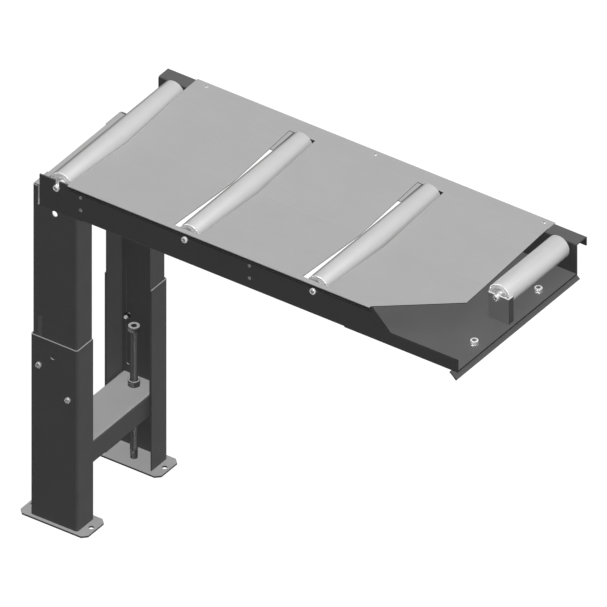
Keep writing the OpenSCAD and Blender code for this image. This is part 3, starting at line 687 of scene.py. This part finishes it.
def add_leg_bolts():
    bolts = Shape()
    nuts = Shape()
    low, high = box_mm("leg_bolts")
    nut_low, nut_high = box_mm("leg_nuts")
    inset = LEG_BOLT_HEAD_CORNERS / 2
    length = high.z - LEG_BOLT_HEAD[1] - low.z
    for x in (low.x + inset, high.x - inset):
        for y in LEG_BOLT_Y:
            hex_bolt(bolts, (x, y, high.z), DOWN, LEG_BOLT_HEAD, M8, length)
            nut(nuts, (x, y, nut_low.z), UP, LEG_NUT_FLATS, nut_high.z - nut_low.z, M8_BORE)
    bolts.place("leg_bolts_threaded", "table", "zinc", "leg_bolts")
    nuts.place("leg_nuts_chamfered", "table", "zinc", "leg_nuts")


def add_member_screws():
    screws = Shape()
    x = box_mm("member_screws")[0].x
    for y in LEG_BOLT_Y:
        rivet(screws, (x, y, middle_z("member_screws")), (1, 0, 0), MEMBER_HEAD, MEMBER_GRIP, MEMBER_R)
    screws.place("member_screws_domed", "table", "zinc", "member_screws")


def add_axle_screws():
    """A screw in each end of each axle, through the wall."""
    near = Shape()
    far = Shape()
    out = WEB_T + AXLE_HEAD[1]
    for i in ROLLERS:
        x = middle_x("roller_%d_tube" % i)
        z = middle_z("roller_%d_tube" % i)
        axle_low, axle_high = box_mm("roller_%d_axle" % i)
        for shape, y, inward in ((near, axle_low.y - out, FAR), (far, axle_high.y + out, NEAR)):
            socket_screw(shape, (x, y, z), inward, AXLE_HEAD, AXLE_SOCKET, M8, AXLE_SCREW_LENGTH)
    near.place("near_axle_screws_threaded", "table", "zinc", "near_axle_screws")
    far.place("far_axle_screws_threaded", "table", "zinc", "far_axle_screws")


def add_machine_bolts():
    bolts = Shape()
    low, high = box_mm("machine_bolts")
    x = middle_x("machine_bolts")
    inset = MACHINE_HEAD[0] / 2
    length = high.z - MACHINE_HEAD[1] - low.z
    for y in (low.y + inset, high.y - inset):
        place = (x, y, high.z)
        socket_screw(bolts, place, DOWN, MACHINE_HEAD, MACHINE_SOCKET, M10, length, MACHINE_BOLT_SHADE)
    bolts.place("machine_bolts_threaded", "table", "zinc", "machine_bolts")


def add_tray_screws():
    screws = Shape()
    low, high = box_mm("tray_screws")
    y = (low.y + high.y) / 2
    length = high.z - TRAY_HEAD[1] - low.z
    for x in (*RIVET_X, high.x - TRAY_HEAD[0] / 2):
        button_screw(screws, (x, y, high.z), DOWN, TRAY_HEAD, TRAY_SOCKET, M5, length)
    screws.place("tray_screws_domed", "table", "zinc", "tray_screws")


def add_tray_rivets():
    rivets = Shape()
    out = RIVET_HEAD[1]
    for x in RIVET_X:
        for drop in RIVET_DROP:
            for y, inward in ((NEAR_Y - out, FAR), (FAR_Y + out, NEAR)):
                rivet(rivets, (x, y, RAIL_TOP - drop), inward, RIVET_HEAD, 2 * WEB_T, RIVET_R)
    rivets.place("tray_rivets_domed", "table", "rivet_steel", "tray_rivets")


def add_bracket_rivets():
    rivets = Shape()
    low, high = box_mm("bracket_rivets")
    y = (low.y + high.y) / 2
    inset = RIVET_HEAD[0] / 2
    grip = high.z - low.z - 2 * RIVET_HEAD[1]
    for x in (low.x + inset, high.x - inset):
        rivet(rivets, (x, y, high.z), DOWN, RIVET_HEAD, grip, RIVET_R)
    rivets.place("bracket_rivets_domed", "table", "zinc", "bracket_rivets")


# Rings of a roller's pieces, (depth, radius) from the near face inwards, in millimetres
TUBE_EDGE = ((0.3, 23), (0, 23.3), (0, 24.2), (0.25, 24.8), (0.8, 25))
CAP = (
    (0, 13.6), (0, 15.2), (0.7, 16.2), (0.7, 19.8), (0, 20.8), (0, 22.2), (0.75, 22.95),
    (12, 22.95), (12, 16.05), (2, 16.05), (2, 13), (0.6, 13),
)
BEARING = (
    (0.5, 9.05), (0.5, 10.4), (0.8, 10.8), (0.8, 12.8), (0.5, 13.2), (0, 13.4), (0, 15.6), (0.4, 16),
    (9.6, 16), (10, 15.6), (10, 13.4), (9.5, 13.2), (9.5, 9.05),
)
INNER_RING = ((0, 6.4), (0, 8.7), (0.3, 9), (9.7, 9), (10, 8.7), (10, 6.4), (9.7, 6.05), (0.3, 6.05))
CAP_INSET = 2
BEARING_INSET = 4


def add_roller(i):
    """Tube with rounded edges, pressed ends, and bearings with their seals."""
    body = "roller_%d" % i
    low, high = box_mm(body + "_tube")
    x = middle_x(body + "_tube")
    z = middle_z(body + "_tube")
    length = high.y - low.y
    tube = Shape()
    far_edge = [(length - depth, radius) for depth, radius in reversed(TUBE_EDGE)]
    tube.turn((x, low.y, z), FAR, [*TUBE_EDGE, *far_edge], closed=True)
    tube.place(body + "_tube_rounded", body, "roller_steel", body + "_tube")
    caps = Shape()
    bearings = Shape()
    rings = Shape()
    for y, inward in ((low.y, FAR), (high.y, NEAR)):
        cap_place = (x, y + CAP_INSET * inward[1], z)
        bearing_place = (x, y + BEARING_INSET * inward[1], z)
        caps.turn(cap_place, inward, CAP, closed=True)
        bearings.turn(bearing_place, inward, BEARING, closed=True, painted_shade=BEARING_SHADE)
        rings.turn(bearing_place, inward, INNER_RING, closed=True, painted_shade=BEARING_SHADE)
    caps.place(body + "_caps_pressed", body, "roller_cap", body + "_caps")
    bearings.place(body + "_bearings_sealed", body, "bright_steel", body + "_bearings")
    rings.place(body + "_inner_rings_rounded", "table", "bright_steel", body + "_inner_rings")


for part in frame["record"]["subparts"]:
    finish_node(part["node"], part["material_slot"])

add_spindle("near")
add_spindle("far")
add_spindle_nuts()
add_clamps()
add_leg_bolts()
add_member_screws()
add_axle_screws()
add_machine_bolts()
add_tray_screws()
add_tray_rivets()
add_bracket_rivets()
for i in ROLLERS:
    add_roller(i)

add_camera()
for row in LIGHTS:
    add_sun(*row)
add_world()
add_floor()
bpy.context.scene.view_settings.view_transform = "Standard"
